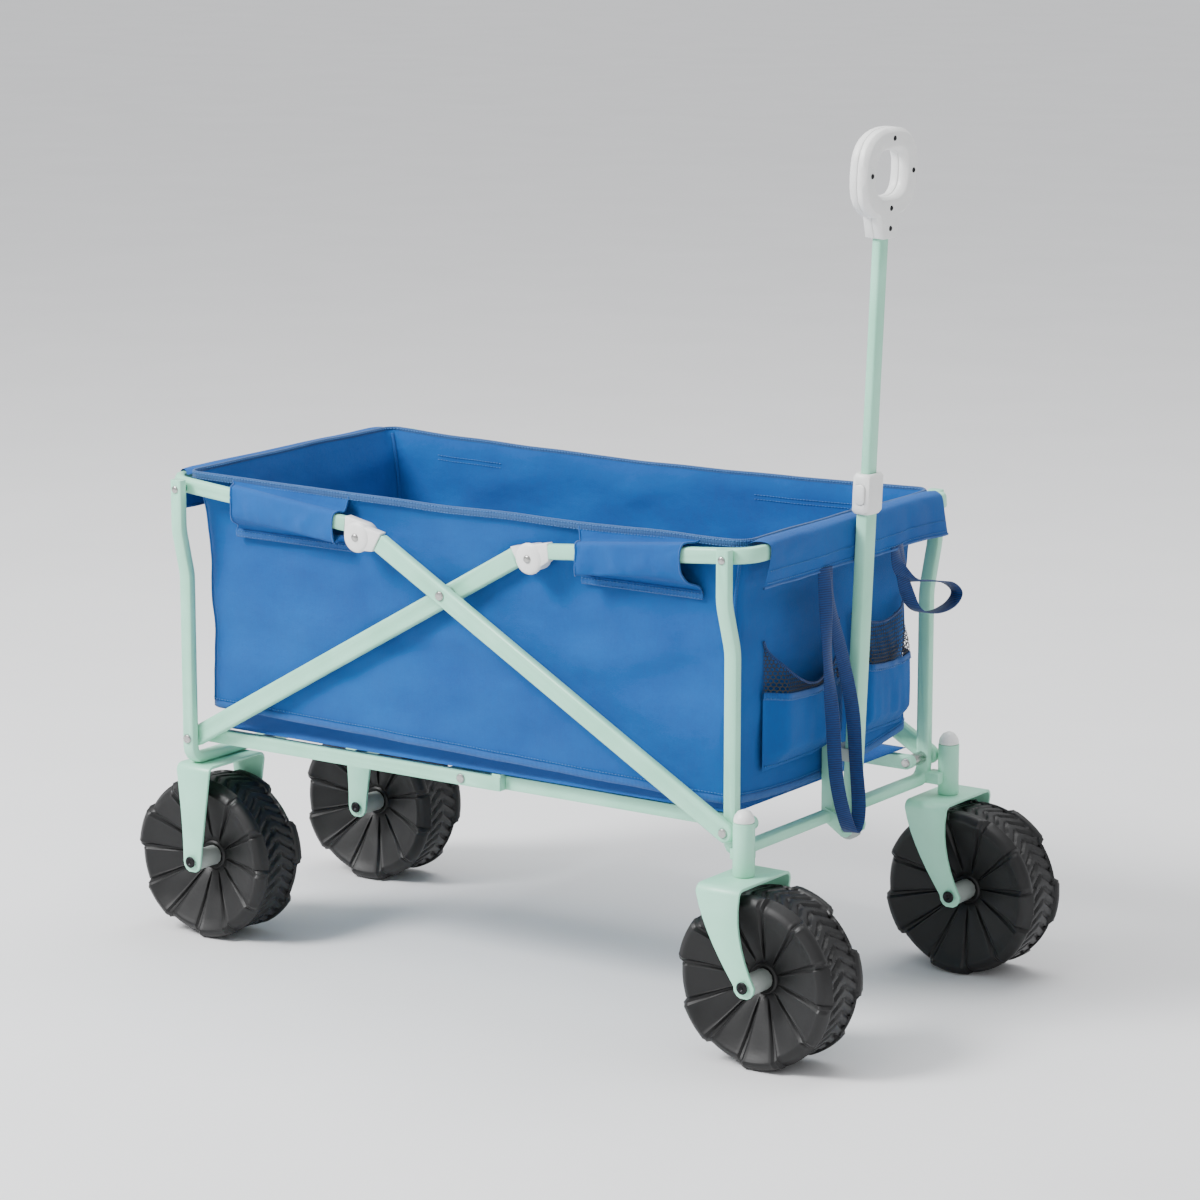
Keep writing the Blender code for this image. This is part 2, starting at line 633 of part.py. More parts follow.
def handle_tubes():
    """Boot, lower tube, upper tube, collar and its push button."""
    pivot = handle_point(PIVOT_LENGTH)
    deep, wide = LOWER_TUBE
    bore_deep = deep - 0.003
    bore_wide = wide - 0.003
    base = -0.016
    sections = [(base, deep, wide, TUBE_ROUND), (LOWER_TUBE_LENGTH, deep, wide, TUBE_ROUND)]
    sections += [(LOWER_TUBE_LENGTH, bore_deep, bore_wide, 0.003), (base, bore_deep, bore_wide, 0.003)]
    place(skin(handle_loops(sections), closed=True), "handle_lower_tube", paint(), pivot)
    sections = [(-0.046, 0.010, 0.020, 0.004), (-0.042, deep + 0.001, wide + 0.001, 0.004)]
    sections += [(base - GAP, deep + 0.003, wide + 0.001, 0.004)]
    boot = place(skin(handle_loops(sections)), "handle_boot", plastic(), pivot)
    drill(boot, pivot, (0, 1, 0), PIVOT_HOLE, 0.1)
    slide_origin = handle_point(LOWER_TUBE_LENGTH)
    sections = [(0.328, *UPPER_TUBE, 0.003), (UPPER_TUBE_END - GAP, *UPPER_TUBE, 0.003)]
    place(skin(handle_loops(sections)), "handle_upper_tube", paint(), slide_origin)
    collar_deep, collar_wide = COLLAR
    lip = LOWER_TUBE_LENGTH + GAP
    clear = 2 * GAP
    sections = [
        (COLLAR_START, collar_deep - 0.005, collar_wide - 0.005, 0.007),
        (COLLAR_START + 0.004, collar_deep, collar_wide, 0.008),
        (COLLAR_END - 0.004, collar_deep, collar_wide, 0.008),
        (COLLAR_END, collar_deep - 0.005, collar_wide - 0.005, 0.007),
        (COLLAR_END, UPPER_TUBE[0] + clear * 2, UPPER_TUBE[1] + clear * 2, 0.003),
        (lip, UPPER_TUBE[0] + clear * 2, UPPER_TUBE[1] + clear * 2, 0.003),
        (lip, deep + clear, wide + clear, TUBE_ROUND),
        (COLLAR_START, deep + clear, wide + clear, TUBE_ROUND),
    ]
    collar = place(skin(handle_loops(sections), closed=True), "handle_collar", plastic(), pivot)
    button_at = (COLLAR_START + COLLAR_END) / 2
    pocket = [(handle_point(button_at + v, u), (u, v)) for u, v in rounded_section(0.0146, 0.0266, 0.005, 3)]
    depth = -collar_wide / 2
    cut = [[point + Vector((0, depth + offset, 0)) for point, _ in pocket] for offset in (-0.002, 0.0050)]
    boolean(collar, guide(cut, "button_pocket"), "DIFFERENCE")
    face = rounded_section(0.0140, 0.0260, 0.005, 3)
    loops = []
    for offset, scale in ((0.0022, 1.0), (-0.0012, 1.0), (-0.0020, 0.88)):
        loops.append([handle_point(button_at + v * scale, u * scale, depth + offset) for u, v in face])
    place(skin(loops), "collar_button", plastic(), handle_point(button_at, 0, depth))


def grip_outline(wide, tall, power, points, neck=0.0):
    """A closed outline with full corners; a neck pulls its lowest points straight down."""
    outline = []
    for i in range(points):
        angle = 2 * pi * (i + 0.5) / points
        reach = (abs(cos(angle)) ** power + abs(sin(angle)) ** power) ** (-1 / power)
        y = wide / 2 * reach * cos(angle)
        z = tall / 2 * reach * sin(angle)
        if neck and z < 0 and abs(y) < 0.019:
            y = max(-0.0155, min(0.0155, y))
            z = -tall / 2 - neck
        outline.append((y, z))
    return outline


def grips():
    """The two moulded halves of the hand grip, front and back, with the neck over the upper tube."""
    points = 40
    neck = NECK_END - UPPER_TUBE_END
    centre = NECK_END + GRIP_TALL / 2
    outer = grip_outline(GRIP_WIDE, GRIP_TALL, 2.7, points, neck)
    outer_edge = grip_outline(GRIP_WIDE - 0.010, GRIP_TALL - 0.010, 2.7, points, neck + 0.005)
    inner = grip_outline(0.070, 0.058, 3.0, points)
    inner_edge = grip_outline(0.078, 0.066, 3.0, points)
    half = GRIP_THICK / 2
    for name, side in (("grip_front", 1), ("grip_back", -1)):
        loops = []
        for outline, depth in ((outer, GAP / 2), (outer, half - 0.006), (outer_edge, half),
                               (inner_edge, half), (inner, half - 0.006), (inner, GAP / 2)):
            loops.append([handle_point(centre + z, side * depth, y) for y, z in outline])
        place(skin(loops, closed=True), name, plastic(), handle_point(LOWER_TUBE_LENGTH))


def handle_clip():
    """The clip on top of the centre post, whose two fingers hold the handle upright."""
    tall = (0.328, 0.3447)
    y_in = LOWER_TUBE[1] / 2 + 0.0008
    y_out = y_in + 0.003
    back_x = FRONT_X + 0.0085
    tube_back = HANDLE_X + 0.0025 - LOWER_TUBE[0] / 2
    reach_x = tube_back + 0.013
    outline = [(back_x, -y_out), (reach_x, -y_out), (reach_x, -y_in), (tube_back - 0.001, -y_in)]
    outline += [(x, -y) for x, y in reversed(outline)]
    loops = [[Vector((x, y, z)) for x, y in outline] for z in tall]
    place(skin(loops), "handle_clip", spacer_plastic(), (FRONT_X, 0, HANDLE_Z))


# ---- bag ---------------------------------------------------------------------------------------
def bag():
    """Plain solids for the soft bag: two ends, two sides, a floor and two pockets."""
    low_z = BAG_FLOOR_Z + 0.009
    end_half = 0.184
    for name, x, inward in (("bag_rear_end", REAR_X, 1), ("bag_front_end", FRONT_X, -1)):
        xs = sorted((x + inward * BAG_INSET, x + inward * (BAG_INSET + CLOTH)))
        loops = block((xs[0], -end_half, low_z), (xs[1], end_half, 0.585))
        place(skin(loops), name, cloth(), (x, 0, LOW_PIVOT_Z))
    inner = BAG_INSET + CLOTH + 0.001
    for label, side in SIDES:
        ys = sorted((side * (BAG_SIDE_Y - 0.0005), side * (BAG_SIDE_Y + 0.0025)))
        loops = block((REAR_X + inner, ys[0], low_z), (FRONT_X - inner, ys[1], 0.640))
        place(skin(loops), f"bag_{label}_side", cloth(), (REAR_X, 0, LOW_PIVOT_Z))
    loops = block((REAR_X + inner, -end_half, BAG_FLOOR_Z), (FRONT_X - inner, end_half, BAG_FLOOR_Z + 0.007))
    place(skin(loops), "bag_floor", cloth(), (REAR_X, 0, LOW_PIVOT_Z))
    pocket_x = FRONT_X - BAG_INSET + GAP
    for label, y_low, y_high in (("near", -0.180, -0.020), ("far", 0.052, 0.180)):
        loops = block((pocket_x, y_low, 0.340), (pocket_x + 0.011, y_high, 0.460))
        place(skin(loops), f"{label}_pocket", cloth(), (FRONT_X, 0, LOW_PIVOT_Z))


# ---- assembly ----------------------------------------------------------------------------------
def build():
    """Clear the scene and build the whole cart."""
    for item in list(bpy.data.objects):
        bpy.data.objects.remove(item, do_unlink=True)
    end_frame("rear_end_frame", REAR_X, REAR_LOW_POST_Y)
    front = end_frame("front_end_frame", FRONT_X, FRONT_LOW_POST_Y)
    front_extras(front)
    top_rail("rear_top_rail", REAR_X, 1, REAR_RAIL_Y)
    top_rail("front_top_rail", FRONT_X, -1, FRONT_RAIL_Y)
    braces_and_hinges()
    floor()
    running_gear()
    handle_tubes()
    grips()
    handle_clip()
    bag()


build()
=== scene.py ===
"""Looks of the folding beach cart: cloth, wheels, small parts, materials, floor, lights and camera."""

import json
from math import cos, exp, floor, pi, radians, sin

import bmesh
import bpy
from mathutils import Matrix, Vector, noise


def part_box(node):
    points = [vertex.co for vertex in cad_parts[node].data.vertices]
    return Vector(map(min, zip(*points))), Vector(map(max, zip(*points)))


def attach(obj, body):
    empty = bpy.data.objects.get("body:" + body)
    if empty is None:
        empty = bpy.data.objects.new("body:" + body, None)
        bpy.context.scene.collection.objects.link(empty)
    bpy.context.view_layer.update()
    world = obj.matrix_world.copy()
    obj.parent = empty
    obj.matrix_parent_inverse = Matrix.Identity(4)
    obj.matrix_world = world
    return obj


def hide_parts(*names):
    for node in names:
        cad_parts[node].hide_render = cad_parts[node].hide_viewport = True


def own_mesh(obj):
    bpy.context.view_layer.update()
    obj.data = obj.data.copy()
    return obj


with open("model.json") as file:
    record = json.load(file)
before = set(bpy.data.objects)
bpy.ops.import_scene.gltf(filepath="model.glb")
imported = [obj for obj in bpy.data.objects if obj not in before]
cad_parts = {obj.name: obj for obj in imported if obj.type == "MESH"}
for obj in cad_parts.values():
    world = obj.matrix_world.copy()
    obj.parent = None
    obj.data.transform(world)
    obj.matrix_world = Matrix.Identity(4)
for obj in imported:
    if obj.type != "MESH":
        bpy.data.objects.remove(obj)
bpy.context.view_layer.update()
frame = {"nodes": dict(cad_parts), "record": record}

NODES = frame["nodes"]
BODIES = frame["record"]["behaviour"]["bodies"]
BODY_OF = {node: body for body, nodes in BODIES.items() for node in nodes}
SIDES = (("near", -1), ("far", 1))


def middle(node):
    """The middle of a CAD node's box."""
    low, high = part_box(node)
    return (low + high) / 2


REAR_X = middle("near_rear_foot_bolt").x
FRONT_X = middle("near_front_foot_bolt").x
SPAN = FRONT_X - REAR_X
# The bag's wall: the heights of its rim and hem, and how far out its sides stand below and at the rim.
RIM_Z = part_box("bag_near_side")[1].z + 0.001
HEM_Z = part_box("bag_floor")[1].z + 0.012
SIDE_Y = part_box("bag_far_side")[0].y + 0.0025
RIM_Y = SIDE_Y + 0.010
# Points of the wall's line: steps round each corner, then columns along each straight stretch.
CORNER_STEPS = 6
WALL_COLUMNS = (72, 34, 72, 34)
# The side arms fall away from the posts: their height at the post, and their drop for each metre.
ARM_POST_Z = 0.6245
ARM_SLOPE = 0.0892
# Degrees between the wheel's radial channels, and between its chevrons.
SECTOR = 30
CHEVRON_PITCH = 9


# ---- meshes ------------------------------------------------------------------------------------
def finish_mesh(name, mesh_data, look, smooth=True):
    """Turn a bmesh into a linked object with one material."""
    mesh = bpy.data.meshes.new(name)
    mesh_data.to_mesh(mesh)
    mesh_data.free()
    mesh.materials.append(look)
    for face in mesh.polygons:
        face.use_smooth = smooth
    made = bpy.data.objects.new(name, mesh)
    bpy.context.collection.objects.link(made)
    return made


def running_lengths(points):
    """Distance along a line of points, at each point."""
    lengths = [0.0]
    for before, after in zip(points, points[1:]):
        lengths.append(lengths[-1] + (after - before).length)
    return lengths


def grid(name, rows, look, closed=False, ends_closed=False, recalc=False):
    """Quads between equal rows of points, with UVs in metres; closed joins each row's ends."""
    made = bmesh.new()
    uv_layer = made.loops.layers.uv.new("UVMap")
    verts = [[made.verts.new(point) for point in row] for row in rows]
    along = running_lengths(list(rows[len(rows) // 2]) + [rows[len(rows) // 2][0]])
    down = running_lengths([row[len(row) // 3] for row in rows])
    down.append(down[-1] + 0.01)
    row_count = len(rows) if ends_closed else len(rows) - 1
    column_count = len(rows[0]) if closed else len(rows[0]) - 1
    for i in range(row_count):
        below = (i + 1) % len(rows)
        for j in range(column_count):
            beside = (j + 1) % len(rows[0])
            face = made.faces.new((verts[i][j], verts[i][beside], verts[below][beside], verts[below][j]))
            corners = ((j, i), (j + 1, i), (j + 1, i + 1), (j, i + 1))
            for loop, (u, v) in zip(face.loops, corners):
                loop[uv_layer].uv = (along[u], down[v])
    if recalc:
        bmesh.ops.recalc_face_normals(made, faces=made.faces)
    return finish_mesh(name, made, look)


def spline(points, per_span):
    """A smooth line through points, which are Vectors of any size."""
    padded = [points[0] * 2 - points[1], *points, points[-1] * 2 - points[-2]]
    line = []
    for a, b, c, d in zip(padded, padded[1:], padded[2:], padded[3:]):
        for i in range(per_span):
            t = i / per_span
            line.append(((b * 2) + (c - a) * t + (a * 2 - b * 5 + c * 4 - d) * t ** 2
                         + (b * 3 - a - c * 3 + d) * t ** 3) * 0.5)
    line.append(points[-1])
    return line


def tangent(points, i, closed):
    """Unit direction of a line of points at point i."""
    if closed:
        return (points[(i + 1) % len(points)] - points[i - 1]).normalized()
    return (points[min(i + 1, len(points) - 1)] - points[max(i - 1, 0)]).normalized()


def band(name, points, outward, section, look, closed=False):
    """A strip of cloth or piping: a section of (out, up) points swept along a line."""
    rows = []
    for i, point in enumerate(points):
        out = outward(point)
        up = tangent(points, i, closed).cross(out).normalized()
        if up.z < 0:
            up = -up
        rows.append([point + out * a + up * b for a, b in section])
    return grid(name, rows, look, closed=True, ends_closed=closed, recalc=True)


def always(x, y, z):
    """An outward rule that gives one direction at every point."""
    return lambda point: Vector((x, y, z))


def oval(out, up, count=8):
    """A flattened ring of (out, up) points."""
    ring = [(cos(2 * pi * i / count), sin(2 * pi * i / count)) for i in range(count)]
    power = 0.6
    return [(out * abs(a) ** power * (1 if a > 0 else -1), up * abs(b) ** power * (1 if b > 0 else -1))
            for a, b in ring]


def stitches(name, lines, look, pitch=0.0048, long=0.0032, thick=0.0006):
    """Short threads along lines, each given as points with the direction that faces out."""
    made = bmesh.new()
    for points, outward in lines:
        lengths = running_lengths(points)
        at = pitch
        span = 0
        while at < lengths[-1] - pitch / 2:
            while lengths[span + 1] < at:
                span += 1
            share = (at - lengths[span]) / (lengths[span + 1] - lengths[span])
            centre = points[span].lerp(points[span + 1], share)
            along = (points[span + 1] - points[span]).normalized()
            out = outward(centre)
            across = along.cross(out).normalized()
            corners = []
            for end in (-1, 1):
                for a, b in ((-1, -0.3), (0, 1), (1, -0.3)):
                    corners.append(made.verts.new(centre + along * end * long / 2
                                                  + across * a * thick + out * b * thick))
            for a, b in ((0, 1), (1, 2), (2, 0)):
                made.faces.new((corners[a], corners[b], corners[b + 3], corners[a + 3]))
            made.faces.new(corners[2::-1])
            made.faces.new(corners[3:])
            at += pitch
    bmesh.ops.recalc_face_normals(made, faces=made.faces)
    return finish_mesh(name, made, look)


def dome(name, centre, axis, radius, height, look, socket=0.0):
    """A domed round head on a face, with a socket sunk in its middle if it has one."""
    axis = Vector(axis).normalized()
    side = axis.orthogonal().normalized()
    other = axis.cross(side)
    profile = [(1.0, -0.3), (1.0, 0.15), (0.92, 0.5), (0.74, 0.8), (0.5, 0.95)]
    profile += [(0.42, 0.95), (0.38, 0.2), (0.02, 0.1)] if socket else [(0.25, 1.0), (0.02, 1.0)]
    rows = []
    for out, up in profile:
        ring = []
        for i in range(24):
            angle = 2 * pi * i / 24
            spoke = side * cos(angle) + other * sin(angle)
            ring.append(centre + axis * up * height + spoke * out * radius)
        rows.append(ring)
    return grid(name, rows, look, closed=True, recalc=True)


def softened(node, width, look):
    """A copy of a CAD node with its flat facets joined, its edges rounded and its curves smooth."""
    mesh = NODES[node].data.copy()
    made = bpy.data.objects.new(f"{node}_finished", mesh)
    bpy.context.collection.objects.link(made)
    data = bmesh.new()
    data.from_mesh(mesh)
    bmesh.ops.remove_doubles(data, verts=data.verts, dist=0.00002)
    bmesh.ops.dissolve_limit(data, angle_limit=radians(1.0), verts=data.verts, edges=data.edges)
    data.to_mesh(mesh)
    data.free()
    bevel = made.modifiers.new("rounded", "BEVEL")
    bevel.width = width
    bevel.segments = 2
    bevel.limit_method = "ANGLE"
    bevel.angle_limit = radians(40)
    evaluated = made.evaluated_get(bpy.context.evaluated_depsgraph_get())
    final = bpy.data.meshes.new_from_object(evaluated)
    made.modifiers.clear()
    made.data = final
    final.materials.clear()
    final.materials.append(look)
    final.polygons.foreach_set("use_smooth", [True] * len(final.polygons))
    final.set_sharp_from_angle(angle=radians(42))
    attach(made, BODY_OF[node])
    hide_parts(node)
    return made


# ---- materials ---------------------------------------------------------------------------------
def srgb(red, green, blue):
    """A display colour, 0 to 255, as linear values."""
    parts = [value / 255 for value in (red, green, blue)]
    return (*[((p + 0.055) / 1.055) ** 2.4 if p > 0.04 else p / 12.92 for p in parts], 1.0)


class Look:
    """A node material under construction."""

    def __init__(self, name, roughness, **sockets):
        self.material = bpy.data.materials.new(name)
        self.material.use_nodes = True
        self.tree = self.material.node_tree
        self.surface = self.tree.nodes["Principled BSDF"]
        self.surface.inputs["Roughness"].default_value = roughness
        for socket, value in sockets.items():
            self.surface.inputs[socket.replace("_", " ")].default_value = value
        self.places = self.add("ShaderNodeTexCoord")

    def add(self, kind, values=(), **settings):
        """A node with its settings and socket values, where a value may be another socket."""
        node = self.tree.nodes.new(kind)
        for key, value in settings.items():
            setattr(node, key, value)
        for key, value in dict(values).items():
            if isinstance(value, bpy.types.NodeSocket):
                self.tree.links.new(value, node.inputs[key])
            else:
                node.inputs[key].default_value = value
        return node

    def clouds(self, scale, detail=3.0, stretch=(1, 1, 1)):
        """Soft noise over the piece."""
        mapped = self.add("ShaderNodeMapping", {"Vector": self.places.outputs["Object"], "Scale": stretch})
        values = {"Vector": mapped.outputs["Vector"], "Scale": scale, "Detail": detail}
        return self.add("ShaderNodeTexNoise", values).outputs["Fac"]

    def lines(self, pitch, direction, distortion=0.0):
        """Ribs or threads across the cloth, from its UVs in metres."""
        values = {"Vector": self.places.outputs["UV"], "Scale": 0.314 / pitch, "Distortion": distortion}
        return self.add("ShaderNodeTexWave", values, bands_direction=direction).outputs["Fac"]

    def sum(self, first, second, share):
        """A weighted sum of two factors."""
        values = {0: second, 1: share, 2: first}
        return self.add("ShaderNodeMath", values, operation="MULTIPLY_ADD").outputs[0]

    def colour(self, factor, *stops):
        """Colour the surface from a factor, through (place, colour) stops."""
        ramp = self.add("ShaderNodeValToRGB", {"Fac": factor})
        elements = ramp.color_ramp.elements
        elements[0].position, elements[0].color = stops[0]
        elements[1].position, elements[1].color = stops[-1]
        for place, value in stops[1:-1]:
            elements.new(place).color = value
        self.tree.links.new(ramp.outputs["Color"], self.surface.inputs["Base Color"])

    def gloss(self, factor, low, high):
        """Vary the roughness with a factor."""
        values = {"Value": factor, "To Min": low, "To Max": high}
        ranged = self.add("ShaderNodeMapRange", values)
        self.tree.links.new(ranged.outputs["Result"], self.surface.inputs["Roughness"])

    def relief(self, factor, depth, strength=0.5):
        """Raise the surface with a factor."""
        bump = self.add("ShaderNodeBump", {"Height": factor, "Distance": depth, "Strength": strength})
        self.tree.links.new(bump.outputs["Normal"], self.surface.inputs["Normal"])


def cloth_look(name, lit, shade, pitch, sheen=0.25):
    """Woven cloth: crossing threads, slubs and slow changes of colour."""
    look = Look(name, 0.75, Sheen_Weight=sheen, Sheen_Roughness=0.5, Specular_IOR_Level=0.25)
    weft = look.lines(pitch, "X", 0.4)
    warp = look.lines(pitch, "Y", 0.4)
    weave = look.sum(weft, warp, 1.0)
    slubs = look.clouds(260, 4, (1, 1, 0.35))
    mixed = look.sum(look.clouds(9, 4), slubs, 0.35)
    tone = look.sum(mixed, weave, 0.08)
    look.colour(tone, (0.35, shade), (1.0, lit))
    look.gloss(slubs, 0.66, 0.86)
    creases = look.clouds(34, 6, (1, 0.6, 1.5))
    look.relief(look.sum(look.sum(weave, slubs, 1.2), creases, 9.0), 0.0004, 0.5)
    return look.material


def webbing_look(name, lit, shade, pitch):
    """Ribbed webbing or binding, with ribs across its length."""
    look = Look(name, 0.7, Sheen_Weight=0.2, Specular_IOR_Level=0.25)
    ribs = look.lines(pitch, "Y")
    tone = look.sum(ribs, look.clouds(120, 3), 0.7)
    look.colour(tone, (0.2, shade), (1.0, lit))
    look.gloss(ribs, 0.6, 0.8)
    look.relief(ribs, 0.0005, 0.6)
    return look.material


def paint_look():
    """Satin powder coat: fine orange peel, slow mottling and slight rubbing."""
    look = Look("mint_powder_coat", 0.38, Specular_IOR_Level=0.5, Coat_Weight=0.15, Coat_Roughness=0.25)
    slow = look.clouds(14, 4)
    peel = look.clouds(900, 2)
    look.colour(look.sum(slow, peel, 0.2), (0.3, srgb(142, 210, 180)), (0.8, srgb(162, 224, 197)))
    look.gloss(slow, 0.32, 0.46)
    look.relief(peel, 0.00012, 0.25)
    return look.material


def plastic_look(name, dark, light, low, high, grain=700, depth=0.00015):
    """Moulded plastic: fine grain, faint mottling and uneven gloss."""
    look = Look(name, low, Specular_IOR_Level=0.45)
    slow = look.clouds(25, 5)
    fine = look.clouds(grain, 3)
    look.colour(look.sum(slow, fine, 0.3), (0.35, dark), (0.95, light))
    look.gloss(slow, low, high)
    look.relief(look.sum(fine, slow, 0.6), depth, 0.35)
    return look.material


def metal_look(name, dark, light, roughness):
    """Zinc-plated steel with fine scratches."""
    look = Look(name, roughness, Metallic=1.0)
    scratches = look.clouds(500, 4, (1, 1, 6))
    look.colour(scratches, (0.3, dark), (0.8, light))
    look.gloss(scratches, roughness * 0.7, roughness * 1.4)
    look.relief(scratches, 0.00005, 0.3)
    return look.material


PAINT = paint_look()
CLOTH = cloth_look("blue_woven_cloth", srgb(5, 88, 162), srgb(3, 64, 132), 0.0011, 0.05)
BINDING = webbing_look("rim_binding", srgb(42, 88, 140), srgb(14, 48, 96), 0.0026)
PIPING = webbing_look("corner_piping", srgb(8, 86, 158), srgb(5, 56, 116), 0.0020)
WEBBING = webbing_look("navy_webbing", srgb(12, 54, 112), srgb(3, 20, 56), 0.0030)
THREAD = cloth_look("sewing_thread", srgb(60, 124, 190), srgb(34, 88, 150), 0.0004, 0.1)
NET = plastic_look("black_net", srgb(14, 16, 20), srgb(30, 33, 38), 0.5, 0.7)
RUBBER = plastic_look("black_wheel_plastic", srgb(4, 4, 5), srgb(13, 13, 14), 0.38, 0.60, 240, 0.0003)
WHITE = plastic_look("white_plastic", srgb(222, 223, 222), srgb(238, 238, 236), 0.32, 0.45)
GREY = plastic_look("grey_plastic", srgb(150, 160, 155), srgb(176, 184, 180), 0.38, 0.5)
STEEL = metal_look("plated_steel", srgb(150, 150, 148), srgb(205, 205, 202), 0.28)
DARK_STEEL = metal_look("dark_bolt", srgb(26, 26, 28), srgb(60, 60, 62), 0.4)


# ---- wheels ------------------------------------------------------------------------------------
def near_step(angle, pitch):
    """Signed distance, in degrees, from an angle to the nearest multiple of a pitch."""
    return (angle + pitch / 2) % pitch - pitch / 2


def smooth_step(value, low, high):
    """0 below low, 1 above high, smooth between."""
    t = min(max((value - low) / (high - low), 0.0), 1.0)
    return t * t * (3 - 2 * t)


def wheel_profile():
    """The wheel's section as (radius, y) points: a dished face, the tread and the other face."""
    hub = 0.0138
    face = [(0.0070, hub), (0.0140, hub), (0.0175, hub + 0.0025), (0.0200, hub + 0.0005)]
    face += [(0.0230, hub + 0.0030), (0.0300, 0.0190), (0.0380, 0.0220), (0.0470, 0.0252)]
    face += [(0.0560, 0.0285), (0.0650, 0.0317), (0.0740, 0.0350), (0.0820, 0.0386), (0.0860, 0.0404)]
    face += [(0.0900, 0.0424), (0.0940, 0.0445), (0.0975, 0.0464), (0.0990, 0.0470), (0.1010, 0.0466)]
    face += [(0.1060, 0.0437), (0.1085, 0.0408), (0.1098, 0.0370), (0.1098, 0.0325), (0.1088, 0.0308)]
    face += [(0.1068, 0.0298)]
    tread = [(0.1068, 0.0270 - 0.0027 * i) for i in range(21)]
    return face + tread + [(radius, -y) for radius, y in reversed(face)]


def wheel_point(radius, y, angle):
    """A point of the wheel: every other sector of the shoulder is lower, with channels and chevrons."""
    side = 1 if y > 0 else -1
    boundary = near_step(angle, SECTOR)
    odd = floor(angle / SECTOR + 0.5 * (1 + side)) % 2
    low = smooth_step(abs(boundary), 0.3, 1.8) if odd else 0.0
    r, height = radius, abs(y)
    if radius > 0.084 and height > 0.029:
        share = smooth_step(radius, 0.084, 0.098)
        r -= 0.0050 * low * share * smooth_step(height, 0.0300, 0.0380)
        height -= 0.0032 * low * share
    if 0.022 < radius < 0.1095 and height > 0.018:
        width = 1.6 + 0.9 * smooth_step(radius, 0.03, 0.09) if radius > 0.05 else 2.4
        channel = 1 - smooth_step(abs(boundary), width * 0.55, width)
        lip = exp(-((abs(boundary) - width * 1.35) / (width * 0.3)) ** 2)
        fade = smooth_step(radius, 0.022, 0.034)
        height -= (0.0026 * channel - 0.0007 * lip) * fade
        swell = cos(radians(near_step(angle - SECTOR / 2, SECTOR) * (180 / SECTOR)))
        height += 0.0012 * fade * (1 - smooth_step(radius, 0.07, 0.086)) * swell
    if height < 0.0285 and radius > 0.1:
        phase = (angle / CHEVRON_PITCH + abs(y) / 0.030 * 1.1) % 1
        groove = smooth_step(phase, 0.05, 0.15) * (1 - smooth_step(phase, 0.42, 0.52))
        r -= 0.0028 * groove * smooth_step(abs(y), 0.001, 0.004)
    return Vector((r * sin(radians(angle)), side * height, -r * cos(radians(angle))))


def wheel_mesh(columns=360):
    """One lugged, dished wheel about the Y axis."""
    rows = [[wheel_point(radius, y, 360 * i / columns) for i in range(columns)]
            for radius, y in wheel_profile()]
    made = grid("wheel_shape", rows, RUBBER, closed=True, ends_closed=True, recalc=True)
    mesh = made.data
    mesh.set_sharp_from_angle(angle=radians(38))
    bpy.data.objects.remove(made)
    return mesh


def add_wheels():
    """The four wheels are copies of one shape, each turned a little differently."""
    mesh = wheel_mesh()
    turns = {"near_front": 8, "far_front": 21, "near_rear": 3, "far_rear": 14}
    for place, turn in turns.items():
        node = f"{place}_wheel"
        turned_mesh = mesh.copy()
        turned_mesh.transform(Matrix.Translation(middle(node)) @ Matrix.Rotation(radians(turn), 4, "Y"))
        wheel = bpy.data.objects.new(f"{node}_moulding", turned_mesh)
        bpy.context.collection.objects.link(wheel)
        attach(wheel, node)
        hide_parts(node)


# ---- bag shell ---------------------------------------------------------------------------------
def end_wall_x(height, end):
    """Where an end wall stands at a height; it leans out towards the rim."""
    drop = RIM_Z - height
    out = 0.022 * exp(-drop / 0.045) - 0.012
    if end > 0:
        return FRONT_X + out
    return REAR_X - out


def side_wall_y(height):
    """How far out a side wall stands at a height."""
    return SIDE_Y + (RIM_Y - SIDE_Y) * exp(-(RIM_Z - height) / 0.018)


def outline(height, corner=0.02):
    """The wall's line at a height, all the way round, with rounded corners."""
    low, high = end_wall_x(height, -1), end_wall_x(height, 1)
    half = side_wall_y(height)
    centres = ((low + corner, corner - half, pi), (high - corner, corner - half, -pi / 2),
               (high - corner, half - corner, 0), (low + corner, half - corner, pi / 2))

    def arc_point(index, step):
        x, y, start = centres[index % 4]
        angle = start + pi / 2 * step / CORNER_STEPS
        return Vector((x + corner * cos(angle), y + corner * sin(angle), height))

    line = []
    for index, count in enumerate(WALL_COLUMNS):
        line += [arc_point(index, step) for step in range(CORNER_STEPS + 1)]
        last, following = line[-1].copy(), arc_point(index + 1, 0)
        line += [last.lerp(following, i / count) for i in range(1, count)]
    return line


def rim_height(point):
    """The rim sags between its corners, more at the back."""
    u = min(max((point.x - REAR_X) / SPAN, 0), 1)
    v = min(max((point.y + RIM_Y) / (2 * RIM_Y), 0), 1)
    sag = 4 * u * (1 - u) * (0.003 + 0.005 * v)
    return RIM_Z - sag + 0.0022 * noise.noise(Vector((point.x * 9, point.y * 9, 2.0)))


def hem_height(point):
    """The lower hem, lowest in the middle of the front wall."""
    u = min(max((point.x - REAR_X) / SPAN, 0), 1)
    v = min(max((point.y + SIDE_Y) / (2 * SIDE_Y), 0), 1)
    near = HEM_Z + 0.0135 - 0.017 * u
    far = HEM_Z + 0.0135
    sag = 0.014 * 4 * v * (1 - v)
    return near + (far - near) * v - sag + 0.0012 * noise.noise(Vector((point.x * 14, point.y * 14, 7.0)))


